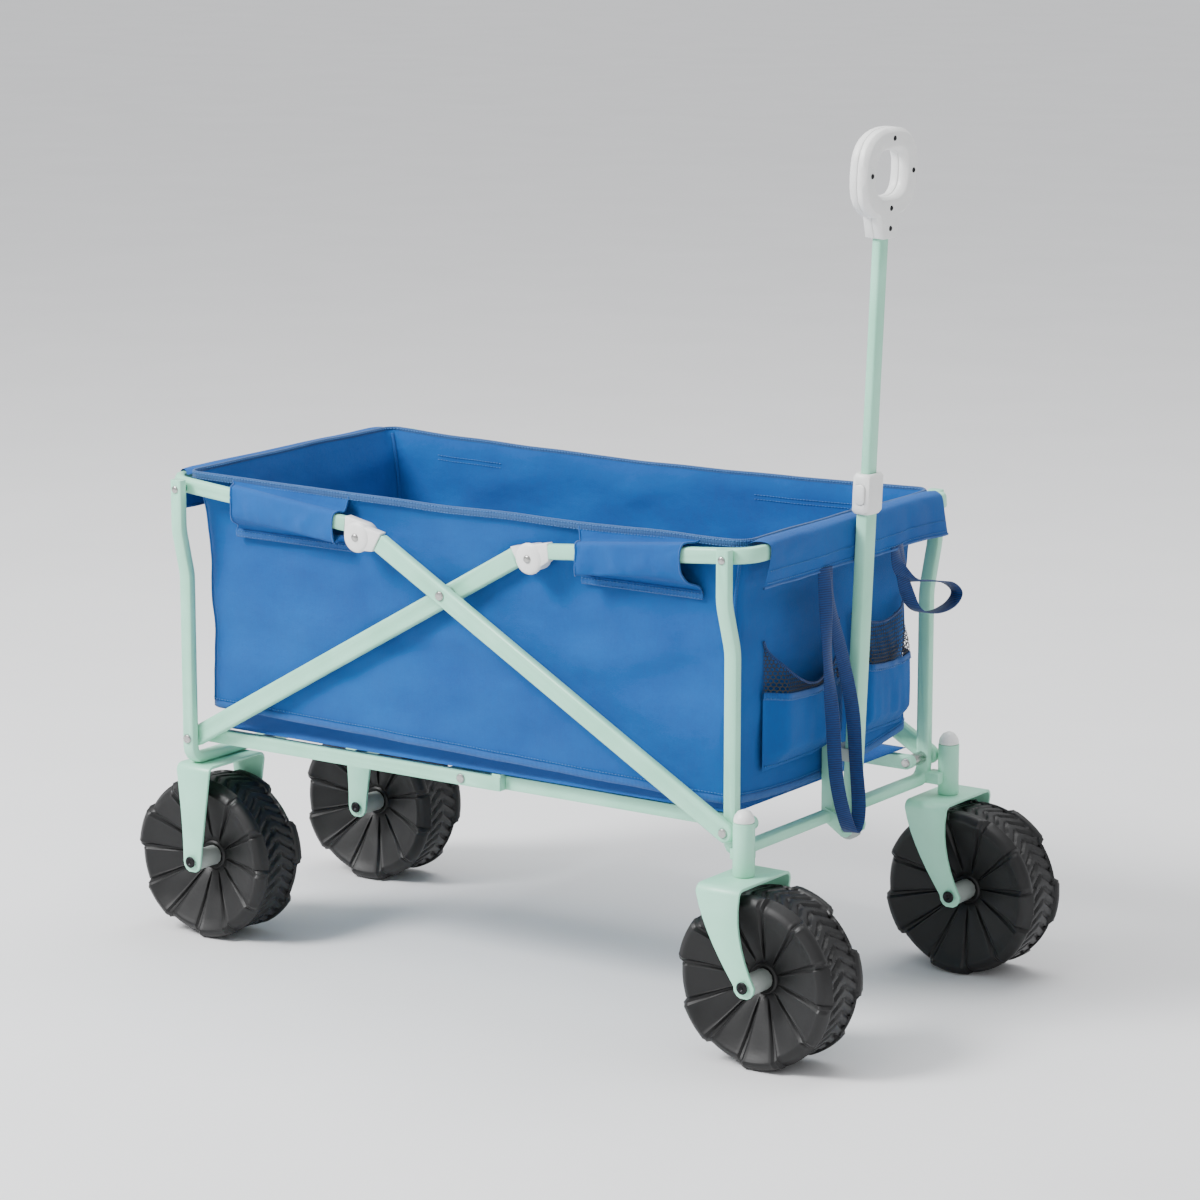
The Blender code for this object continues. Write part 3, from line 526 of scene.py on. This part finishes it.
def outward_from_bag(point):
    """The direction away from the bag's inside, level with the ground."""
    gap_x = min(point.x - end_wall_x(point.z, -1), end_wall_x(point.z, 1) - point.x)
    gap_y = side_wall_y(point.z) - abs(point.y)
    x_pull = max(0.0, 0.02 - gap_x) * (1 if point.x > (REAR_X + FRONT_X) / 2 else -1)
    y_pull = max(0.0, 0.02 - gap_y) * (1 if point.y > 0 else -1)
    if abs(x_pull) + abs(y_pull) < 1e-6:
        return Vector((0, 1 if point.y > 0 else -1, 0))
    return Vector((x_pull, y_pull, 0)).normalized()


def slack(point, share):
    """How far the cloth stands off its plane: broad pillows, slanting creases and small dents."""
    x, y, z = point
    across = x + y * 0.7
    broad = noise.noise(Vector((across * 5.0, z * 4.0, y * 2.0)))
    slant = noise.noise(Vector((across * 7.0 + z * 9.0, z * 16.0 - across * 5.0, 3.1 + y)))
    small = noise.noise(Vector((across * 26.0, z * 34.0, 9.7)))
    ends = min(1.0, abs(share) * 7) * min(1.0, (1 - share) * 9)
    folds = 0.0034 * broad + 0.0048 * (slant - 0.5 * abs(slant)) + 0.0013 * small
    most = 0.0022 if z > 0.48 else 0.0040
    return ends * min(max(folds, -0.0045), most)


def wall_height(rim_point, share):
    """The height of the wall below a point of its rim, from the rim at share 0 to the hem at share 1."""
    top = rim_height(rim_point)
    return top + (hem_height(rim_point) - top) * share


def shell_rows(count=46):
    """Rows of wall points from the rim to the hem."""
    rim = outline(RIM_Z)
    rows = []
    for i in range(count):
        share = i / (count - 1)
        level = outline(RIM_Z + (HEM_Z - RIM_Z) * share)
        row = []
        for rim_point, point in zip(rim, level):
            height = wall_height(rim_point, share)
            moved = point + outward_from_bag(point) * slack(Vector((point.x, point.y, height)), share)
            row.append(Vector((moved.x, moved.y, height)))
        rows.append(row)
    return rows


def fold_with_frame(piece):
    """Ride on the rear frame, with a mesh of its own."""
    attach(piece, "rear_frame")
    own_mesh(piece)


def shell_seams(rows):
    """Stitching lines: two round the rim on both faces, one above the hem, and two tabs on the far wall."""
    seams = []
    for drop in (0.0010, 0.0075):
        for face in (1, -1):
            offset = face * 0.0021
            line = [point + outward_from_bag(point) * offset - Vector((0, 0, drop)) for point in rows[0]]
            seams.append((line, lambda point, face=face: outward_from_bag(point) * face))
    lower = [point + outward_from_bag(point) * 0.0018 + Vector((0, 0, 0.0105)) for point in rows[-1]]
    seams.append((lower, outward_from_bag))
    far_wall = [point for point in rows[4] if point.y > SIDE_Y * 0.8]
    for tab_start, tab_end in ((0.07, 0.20), (0.60, 0.76)):
        tab = [point for point in far_wall if REAR_X + tab_start < point.x < REAR_X + tab_end]
        for drop in (0.0, 0.006):
            line = [point + Vector((0, -0.0012, -drop)) for point in tab]
            seams.append((line, always(0, -1, 0)))
    return seams


def corner_piping(rows):
    """Piping down the four corners of the bag."""
    pipes = []
    column = CORNER_STEPS // 2
    for name, count in zip(("rear_near", "front_near", "front_far", "rear_far"), WALL_COLUMNS):
        line = [row[column] for row in rows[1:-1]]
        diagonal = outward_from_bag(line[10])
        pipes.append(band(f"{name}_piping", line, always(*diagonal), oval(0.0022, 0.0022), PIPING))
        column += CORNER_STEPS + count
    return pipes


def add_shell():
    """The wall of the bag, its rim binding, hem, corner piping and seams."""
    rows = shell_rows()
    shell = grid("bag_wall", rows, CLOTH, closed=True)
    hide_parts("bag_near_side", "bag_far_side", "bag_rear_end", "bag_front_end")
    fold_with_frame(shell)
    rim = [point + Vector((0, 0, -0.0035)) for point in rows[0]]
    binding = band("rim_binding", rim, outward_from_bag, oval(0.0019, 0.0052), BINDING, closed=True)
    hem = [point + Vector((0, 0, 0.003)) for point in rows[-1]]
    hem_band = band("bottom_hem", hem, outward_from_bag, oval(0.0016, 0.0048), PIPING, closed=True)
    thread = stitches("bag_stitching", shell_seams(rows), THREAD)
    for piece in (binding, hem_band, thread, *corner_piping(rows)):
        fold_with_frame(piece)


def add_floor_panel():
    """The bag's padded floor: two faces that swell a little between the slats, with a seam round."""
    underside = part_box("bag_floor")[0].z
    x_low, x_high = end_wall_x(HEM_Z, -1) + 0.002, end_wall_x(HEM_Z, 1) - 0.002
    half = SIDE_Y - 0.003
    across, along = 30, 56
    top, bottom = [], []
    for i in range(across + 1):
        v = i / across
        top_row, bottom_row = [], []
        for j in range(along + 1):
            u = j / along
            edge = min(1.0, 9 * min(u, 1 - u), 9 * min(v, 1 - v))
            swell = 0.0030 * smooth_step(edge, 0, 1) + 0.0012 * noise.noise(Vector((u * 8, v * 5, 1)))
            x, y = x_low + (x_high - x_low) * u, -half + 2 * half * v
            top_row.append(Vector((x, y, underside + 0.004 + swell)))
            bottom_row.append(Vector((x, y, underside + 0.0035 - 0.0025 * smooth_step(edge, 0, 1))))
        top.append(top_row)
        bottom.append(bottom_row)
    rows = [a + b[::-1] for a, b in zip(top, bottom)]
    panel = grid("bag_floor_panel", rows, CLOTH, closed=True, recalc=True)
    data = bmesh.new()
    data.from_mesh(panel.data)
    bmesh.ops.holes_fill(data, edges=[edge for edge in data.edges if edge.is_boundary])
    data.to_mesh(panel.data)
    data.free()
    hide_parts("bag_floor")
    fold_with_frame(panel)


# ---- sleeves, hoods, pockets, straps ------------------------------------------------------------
def sleeve_section(x, inset, side, arm_y):
    """A sleeve's (y, z) line: from the rim, over the arm and back under it, and down the wall."""
    arm_z = ARM_POST_Z - ARM_SLOPE * inset
    rim = rim_height(Vector((x, side * RIM_Y, RIM_Z)))
    turns = [(RIM_Y + 0.001, rim - 0.004), (RIM_Y + 0.005, arm_z + 0.0135), (arm_y, arm_z + 0.0145)]
    turns += [(arm_y + 0.008, arm_z + 0.0118), (arm_y + 0.0100, arm_z + 0.002)]
    turns += [(arm_y + 0.0098, arm_z - 0.014), (arm_y + 0.0065, arm_z - 0.027), (arm_y - 0.002, 0.5835)]
    turns += [(SIDE_Y + 0.0065, 0.5765), (SIDE_Y + 0.0050, 0.568), (SIDE_Y + 0.0047, 0.562)]
    return spline([Vector((y, z, 0)) for y, z in turns], 3)


def sleeve_puff(x, share, side):
    """How far a sleeve's cloth stands off its section."""
    wrinkle = noise.noise(Vector((x * 38 + share * 2, share * 5, side * 3.0)))
    wrinkle += 0.5 * noise.noise(Vector((x * 90, share * 9, side)))
    wrinkle += 0.9 * noise.noise(Vector((x * 14, share * 2.5, side * 7.0)))
    return max(0.0032 * (wrinkle - 0.1), -0.0003) * sin(pi * share)


def sleeve_rows(post_x, inward, side, arm_y, start, end, count=30):
    """Lines of sleeve points across the arm, from its outer edge to its inner edge, which both bow."""
    rows = []
    for i in range(count + 1):
        inset = start + (end - start) * i / count
        x = post_x + inward * inset
        line = sleeve_section(x, inset, side, arm_y)
        row = []
        for j, flat in enumerate(line):
            share = j / (len(line) - 1)
            bow = 0.013 * sin(pi * min(share * 1.12, 1.0)) * (2 * i / count - 1)
            puff = sleeve_puff(x, share, side)
            row.append(Vector((x - inward * bow, side * (flat.x + puff), flat.y)))
        rows.append(row)
    return rows


def sleeve(name, post_x, inward, side, arm_y, start, end, body):
    """Cloth wrapped over a side arm from the rim, down to a sewn strip on the wall."""
    rows = sleeve_rows(post_x, inward, side, arm_y, start, end)
    made = grid(name, rows, CLOTH)
    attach(made, body)
    outward = always(0, side, 0)
    strip_line = [Vector((row[-3].x, row[-3].y + side * 0.0004, row[-3].z)) for row in rows]
    seams = [([row[-drop] + Vector((0, side * 0.0016, 0)) for row in rows], outward) for drop in (4, 1)]
    trim = [band(f"{name}_strip", strip_line, outward, oval(0.0009, 0.0056), PIPING),
            stitches(f"{name}_stitching", seams, THREAD)]
    for label, row in (("outer", rows[0]), ("inner", rows[-1])):
        trim.append(band(f"{name}_{label}_edge", row, always(1, 0, 0), oval(0.0012, 0.0012), PIPING))
    for piece in trim:
        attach(piece, body)


def hood_rows(post_x, end, columns=61):
    """Lines of hood points along the end bar, from the rim, over the bar and down outside."""
    profile = [(0.0085, RIM_Z - 0.002), (0.018, RIM_Z + 0.0015), (0.027, RIM_Z + 0.0008)]
    profile += [(0.0335, RIM_Z - 0.0025), (0.0358, RIM_Z - 0.010), (0.0362, RIM_Z - 0.026)]
    profile += [(0.0359, RIM_Z - 0.041), (0.0354, RIM_Z - 0.0555)]
    line = spline([Vector((out, z, 0)) for out, z in profile], 3)
    rows = []
    for j, flat in enumerate(line):
        share = j / (len(line) - 1)
        half = 0.224 - 0.016 * sin(pi * share) - 0.002 * share
        row = []
        for i in range(columns):
            y = half * (2 * i / (columns - 1) - 1)
            room = smooth_step(abs(y), 0.03, 0.09)
            ripple = abs(noise.noise(Vector((y * 17, share * 3, end * 5.0))))
            lift = (0.0006 + 0.0045 * room) * ripple * share
            wave = 0.0025 * noise.noise(Vector((y * 11, 4.0, end))) * share
            sides = 0.003 * smooth_step(abs(y), 0.19, 0.224) * (1 - share)
            x = post_x + end * min(flat.x + lift, 0.0366 + 0.004 * room)
            row.append(Vector((x, y, flat.y + wave - sides)))
        rows.append(row)
    return rows


def hood(name, post_x, end):
    """Cloth over an end bar: from the rim, over the bar, down outside to a stitched hem."""
    rows = hood_rows(post_x, end)
    made = grid(name, rows, CLOTH)
    fold_with_frame(made)
    out = always(end, 0, 0)
    lines = [([p + Vector((end * 0.0008, 0, 0)) for p in rows[-drop]], out) for drop in (2, 5)]
    thread = stitches(f"{name}_stitching", lines, THREAD)
    hem = band(f"{name}_hem", rows[-1], out, oval(0.0011, 0.0016), PIPING)
    for piece in (thread, hem):
        fold_with_frame(piece)


def net_panel(name, place, inside, columns, rows_count):
    """A hexagonal net with real threads: place(u, v) is a point of it, inside(u, v) says where it is."""
    made = bmesh.new()
    for row in range(rows_count):
        for column in range(columns):
            u = (column + 0.5 * (row % 2) + 0.5) / (columns + 0.5)
            v = (row + 0.5) / rows_count
            if not inside(u, v):
                continue
            rings = []
            for scale in (1.0, 0.74):
                ring = []
                for k in range(6):
                    angle = pi / 6 + pi / 3 * k
                    across = u + 0.577 * cos(angle) / (columns + 0.5) * scale
                    up = v + 0.667 * sin(angle) / rows_count * scale
                    ring.append(made.verts.new(place(min(max(across, 0), 1), max(up, 0))))
                rings.append(ring)
            for k in range(6):
                after = (k + 1) % 6
                made.faces.new((rings[0][k], rings[0][after], rings[1][after], rings[1][k]))
    return finish_mesh(name, made, NET)


def pocket(label, y_low, y_high, lift, net_sag):
    """A pouch on the front wall: a cloth band that gapes, with a net panel above it."""
    z_low, z_band, z_net = 0.337, 0.436, 0.502

    def pouch_x(u, z):
        wall = end_wall_x(z, 1) + 0.004
        rise = smooth_step(z, z_low - 0.004, z_low + 0.03) * (1 - 0.75 * smooth_step(z, z_band, z_net))
        full = smooth_step(u, 0, 0.16) * (1 - smooth_step(u, 0.84, 1))
        pleat = 0.002 * noise.noise(Vector((u * 9, z * 16, y_low * 3)))
        return wall + 0.023 * rise * full + pleat * rise * full

    rows = []
    for i in range(19):
        v = i / 18
        row = []
        for j in range(41):
            u = j / 40
            bottom = z_low + lift * smooth_step(u, 0.62, 1.0)
            top = z_band - 0.006 * sin(pi * u)
            z = top + (bottom - top) * v
            row.append(Vector((pouch_x(u, z), y_low + (y_high - y_low) * u, z)))
        rows.append(row)
    pouch = grid(f"{label}_pocket_pouch", rows, CLOTH)
    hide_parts(f"{label}_pocket")

    def band_top(u):
        return z_band - 0.006 * sin(pi * u)

    def net_top(u):
        return z_net - net_sag * sin(pi * u) ** 0.8

    def net_place(u, v):
        z = band_top(u) + (z_net - z_band) * v
        return Vector((pouch_x(u, z) - 0.0004, y_low + (y_high - y_low) * u, z))

    def under_net_top(u, v):
        return net_place(u, v).z < net_top(u)

    net = net_panel(f"{label}_pocket_net", net_place, under_net_top, int((y_high - y_low) / 0.0048), 14)
    front = always(1, 0, 0)
    band_line = [p + Vector((0, 0, -0.003)) for p in rows[0]]
    top_band = band(f"{label}_pocket_band", band_line, front, oval(0.0015, 0.0048), PIPING)
    net_line = []
    for i in range(41):
        u = i / 40
        z = max(net_top(u), band_top(u))
        net_line.append(Vector((pouch_x(u, z), y_low + (y_high - y_low) * u, z)))
    net_band = band(f"{label}_net_edge", net_line, front, oval(0.0010, 0.0016), WEBBING)
    edge_lines = [([p + Vector((0.0010, 0, 0)) for p in rows[-2]], front)]
    edge_lines.append(([p + Vector((0.0018, 0, -0.006)) for p in rows[0]], front))
    thread = stitches(f"{label}_pocket_stitching", edge_lines, THREAD)
    for piece in (pouch, net, top_band, net_band, thread):
        fold_with_frame(piece)


def strap(name, points, widths, width=0.018, thick=0.0007):
    """A webbing strap along points, turning so that its width follows the given directions."""
    section = ((-1, 0), (-0.94, 1), (0, 1), (0.94, 1), (1, 0), (0.94, -1), (0, -1), (-0.94, -1))
    line = spline([Vector(p) for p in points], 8)
    across = spline([Vector(w).normalized() for w in widths], 8)
    rows = []
    for i, (point, side) in enumerate(zip(line, across)):
        ahead = tangent(line, i, False)
        side = (side - ahead * side.dot(ahead)).normalized()
        out = ahead.cross(side)
        rows.append([point + side * (width / 2) * a + out * thick * b for a, b in section])
    made = grid(name, rows, WEBBING, closed=True, recalc=True)
    fold_with_frame(made)


def add_straps():
    """Two webbing loops that hang from the front hood: a long one by the handle and a short one."""
    x = FRONT_X
    near = [(x + 0.0395, -0.088, 0.590), (x + 0.0420, -0.087, 0.545), (x + 0.0440, -0.084, 0.470)]
    near += [(x + 0.0460, -0.074, 0.395), (x + 0.0500, -0.070, 0.320), (x + 0.0520, -0.050, 0.262)]
    near += [(x + 0.0520, -0.031, 0.243), (x + 0.0510, -0.0165, 0.268), (x + 0.0450, -0.0150, 0.330)]
    near += [(x + 0.0440, -0.024, 0.400), (x + 0.0430, -0.050, 0.475), (x + 0.0420, -0.078, 0.545)]
    near += [(x + 0.0400, -0.083, 0.590)]
    near_turns = [(0.4, 0.9, 0), (0.6, 0.8, 0.1), (0.1, 0.9, 0), (0.8, 0.6, 0), (0.82, 0.57, 0)]
    near_turns += [(0.8, 0.5, 0.3), (0.9, 0.2, 0), (0.8, 0.5, 0.1), (0.9, 0.2, 0), (0.82, 0.57, 0)]
    near_turns += [(0.5, 0.9, 0), (0.2, 1, 0.2), (0.4, 0.9, 0)]
    strap("near_strap", near, near_turns)
    far = [(x + 0.0378, 0.084, 0.590), (x + 0.0410, 0.091, 0.562), (x + 0.0460, 0.115, 0.542)]
    far += [(x + 0.0490, 0.160, 0.534), (x + 0.0510, 0.200, 0.525), (x + 0.0520, 0.221, 0.509)]
    far += [(x + 0.0510, 0.204, 0.495), (x + 0.0490, 0.163, 0.492), (x + 0.0460, 0.123, 0.505)]
    far += [(x + 0.0415, 0.101, 0.545), (x + 0.0385, 0.095, 0.590)]
    far_turns = [(0, 1, 0), (0.4, 0.8, 0.2), (0.9, 0.2, 0.2), (1, 0, 0), (1, 0, 0.1), (1, 0, 0)]
    far_turns += [(1, 0, -0.1), (1, 0, 0), (0.9, 0.2, 0), (0.4, 0.9, 0), (0, 1, 0)]
    strap("far_strap", far, far_turns)


def add_soft_fittings():
    """Sleeves on the four arms, hoods on the two end bars, pockets and straps at the front."""
    for label, side in SIDES:
        sleeve(f"{label}_rear_sleeve", REAR_X, 1, side, 0.2335, 0.069, 0.262, "rear_top_rail")
        sleeve(f"{label}_front_sleeve", FRONT_X, -1, side, 0.2390, 0.055, 0.235, "front_top_rail")
    hood("front_hood", FRONT_X, 1)
    hood("rear_hood", REAR_X, -1)
    pocket("near", -0.152, 0.026, 0.016, 0.064)
    pocket("far", 0.056, 0.188, 0.0, 0.020)
    add_straps()


# ---- hard parts --------------------------------------------------------------------------------
def add_hard_parts():
    """Rounded copies of the CAD parts, each with the first finish that has a word of its name."""
    finishes = (
        (WHITE, 0.0012, ("knuckle", "cap", "collar", "grip", "button")),
        (PAINT, 0.0012, ("end_frame", "top_rail", "inner_brace", "outer_brace", "floor_frame", "fork",
                         "lower_tube", "upper_tube")),
        (GREY, 0.0008, ("boot", "clip", "axle")),
        (STEEL, 0.0004, ("rivet", "bolt")),
    )
    made_elsewhere = ("bag_", "pocket", "wheel")
    for node in sorted(NODES):
        if any(word in node for word in made_elsewhere):
            continue
        for look, width, words in finishes:
            if any(word in node for word in words):
                softened(node, width, look)
                break


def screw(name, at, axis, radius, look, body, socket=1.0, height=0.0016):
    """A small screw or rivet head on a face."""
    made = dome(name, Vector(at), axis, radius, height, look, socket)
    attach(made, body)


def add_post_rivets(label, side):
    """Rivets where a side's posts meet the top rails."""
    faces = (("rear", REAR_X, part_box("rear_end_frame")[1].y), ("front", FRONT_X, 0.260))
    for end, x, face in faces:
        screw(f"{label}_{end}_post_rivet", (x, side * face, 0.622), (0, side, 0), 0.0052, STEEL,
              f"{end}_frame", 0.0, 0.0022)


def add_axle_bolt_heads(label):
    """Dark socket heads on both ends of a side's axles."""
    for end, body in (("front", f"{label}_caster"), ("rear", "rear_frame")):
        axle_low, axle_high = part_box(f"{label}_{end}_axle")
        centre = middle(f"{label}_{end}_axle")
        for name, face, direction in (("near", axle_low.y, -1), ("far", axle_high.y, 1)):
            at = (centre.x, face + direction * 0.0002, centre.z)
            screw(f"{label}_{end}_{name}_bolt_head", at, (0, direction, 0), 0.0078, DARK_STEEL,
                  body)


def add_hinge_heads(label, side, disc_rise=0.0040):
    """A white disc with a rivet head on the outside of each of a side's hinges."""
    for end, body in (("front", "front_top_rail"), ("rear", "outer_braces")):
        rivet_low, rivet_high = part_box(f"{label}_{end}_hinge_rivet")
        centre = middle(f"{label}_{end}_hinge_rivet")
        face = rivet_high.y if side > 0 else rivet_low.y
        base = Vector((centre.x, face - side * disc_rise, centre.z))
        disc = dome(f"{label}_{end}_hinge_disc", base, (0, side, 0), 0.0202, 0.0042, WHITE)
        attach(disc, body)
        screw(f"{label}_{end}_hinge_head", base + Vector((0, side * disc_rise, 0)), (0, side, 0), 0.0054,
              STEEL, body, 0.0, 0.0026)


def add_grip_screws(lean=0.0426):
    """Five small dark screws on the face of the grip, which leans with the handle."""
    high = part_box("grip_front")[1]
    centre = middle("grip_front")
    ring_low = high.z - 0.112
    ring_middle = (high.z + ring_low) / 2
    places = {"top": (0, high.z - 0.013), "left": (-0.049, ring_middle), "right": (0.049, ring_middle),
              "bottom": (0, ring_low + 0.013), "neck": (0, ring_low - 0.012)}
    for name, (y, z) in places.items():
        x = high.x - (high.z - centre.z) * lean + (z - centre.z) * lean
        screw(f"grip_screw_{name}", (x, y, z), (1, 0, -0.043), 0.0034, DARK_STEEL, "handle_upper")


def add_fasteners():
    """Every rivet, bolt and screw head that is too small for the frame's own solids."""
    for label, side in SIDES:
        add_post_rivets(label, side)
        add_axle_bolt_heads(label)
        add_hinge_heads(label, side)
    add_grip_screws()


# ---- stage -------------------------------------------------------------------------------------
def add_floor():
    """A wide pale floor."""
    look = Look("pale_floor", 0.9, Specular_IOR_Level=0.1)
    look.colour(look.clouds(3, 4), (0.3, srgb(226, 226, 227)), (0.8, srgb(230, 230, 231)))
    look.relief(look.clouds(140, 4), 0.0004, 0.1)
    reach = 70
    corners = [[Vector((x, y, 0)) for x in (-reach, reach)] for y in (-reach, reach)]
    grid("ground", corners, look.material)


def add_world():
    """An even, faintly cool sky."""
    world = bpy.data.worlds.new("studio")
    world.use_nodes = True
    world.node_tree.nodes["Background"].inputs["Color"].default_value = (0.97, 0.98, 1.0, 1)
    world.node_tree.nodes["Background"].inputs["Strength"].default_value = 0.80
    bpy.context.scene.world = world


def add_lamp(data, place, aim):
    """Hang a light at a place, pointing along a direction."""
    lamp = bpy.data.objects.new(data.name, data)
    lamp.location = place
    lamp.rotation_euler = aim.to_track_quat("-Z", "Y").to_euler()
    bpy.context.collection.objects.link(lamp)


def add_lights():
    """Soft round lamps aimed at the bag, and a wide, dim sun."""
    lamps = (("key", (-2.4, -3.6, 4.2), 2.0, 470), ("fill", (3.6, -3.0, 3.0), 3.0, 12),
             ("top", (0.2, 1.4, 4.6), 3.0, 120))
    for name, place, size, power in lamps:
        data = bpy.data.lights.new(name, "AREA")
        data.shape = "DISK"
        data.size = size
        data.energy = power
        add_lamp(data, place, Vector((0, 0, 0.3)) - Vector(place))
    data = bpy.data.lights.new("sky", "SUN")
    data.energy = 1.1
    data.angle = radians(50)
    add_lamp(data, (0, 0, 0), Vector((0.5, 0.55, -1)))


def add_camera():
    """A long lens, a little above the rim, towards the front near corner."""
    data = bpy.data.cameras.new("camera")
    data.lens = 125.9
    data.sensor_width = 36
    data.clip_end = 300
    camera = bpy.data.objects.new("camera", data)
    camera.location = (3.1007, -4.4285, 1.5924)
    camera.rotation_euler = (radians(78.41), 0, radians(34.66))
    bpy.context.collection.objects.link(camera)
    bpy.context.scene.camera = camera


add_floor()
add_world()
add_lights()
add_camera()
add_hard_parts()
add_fasteners()
add_wheels()
add_shell()
add_floor_panel()
add_soft_fittings()
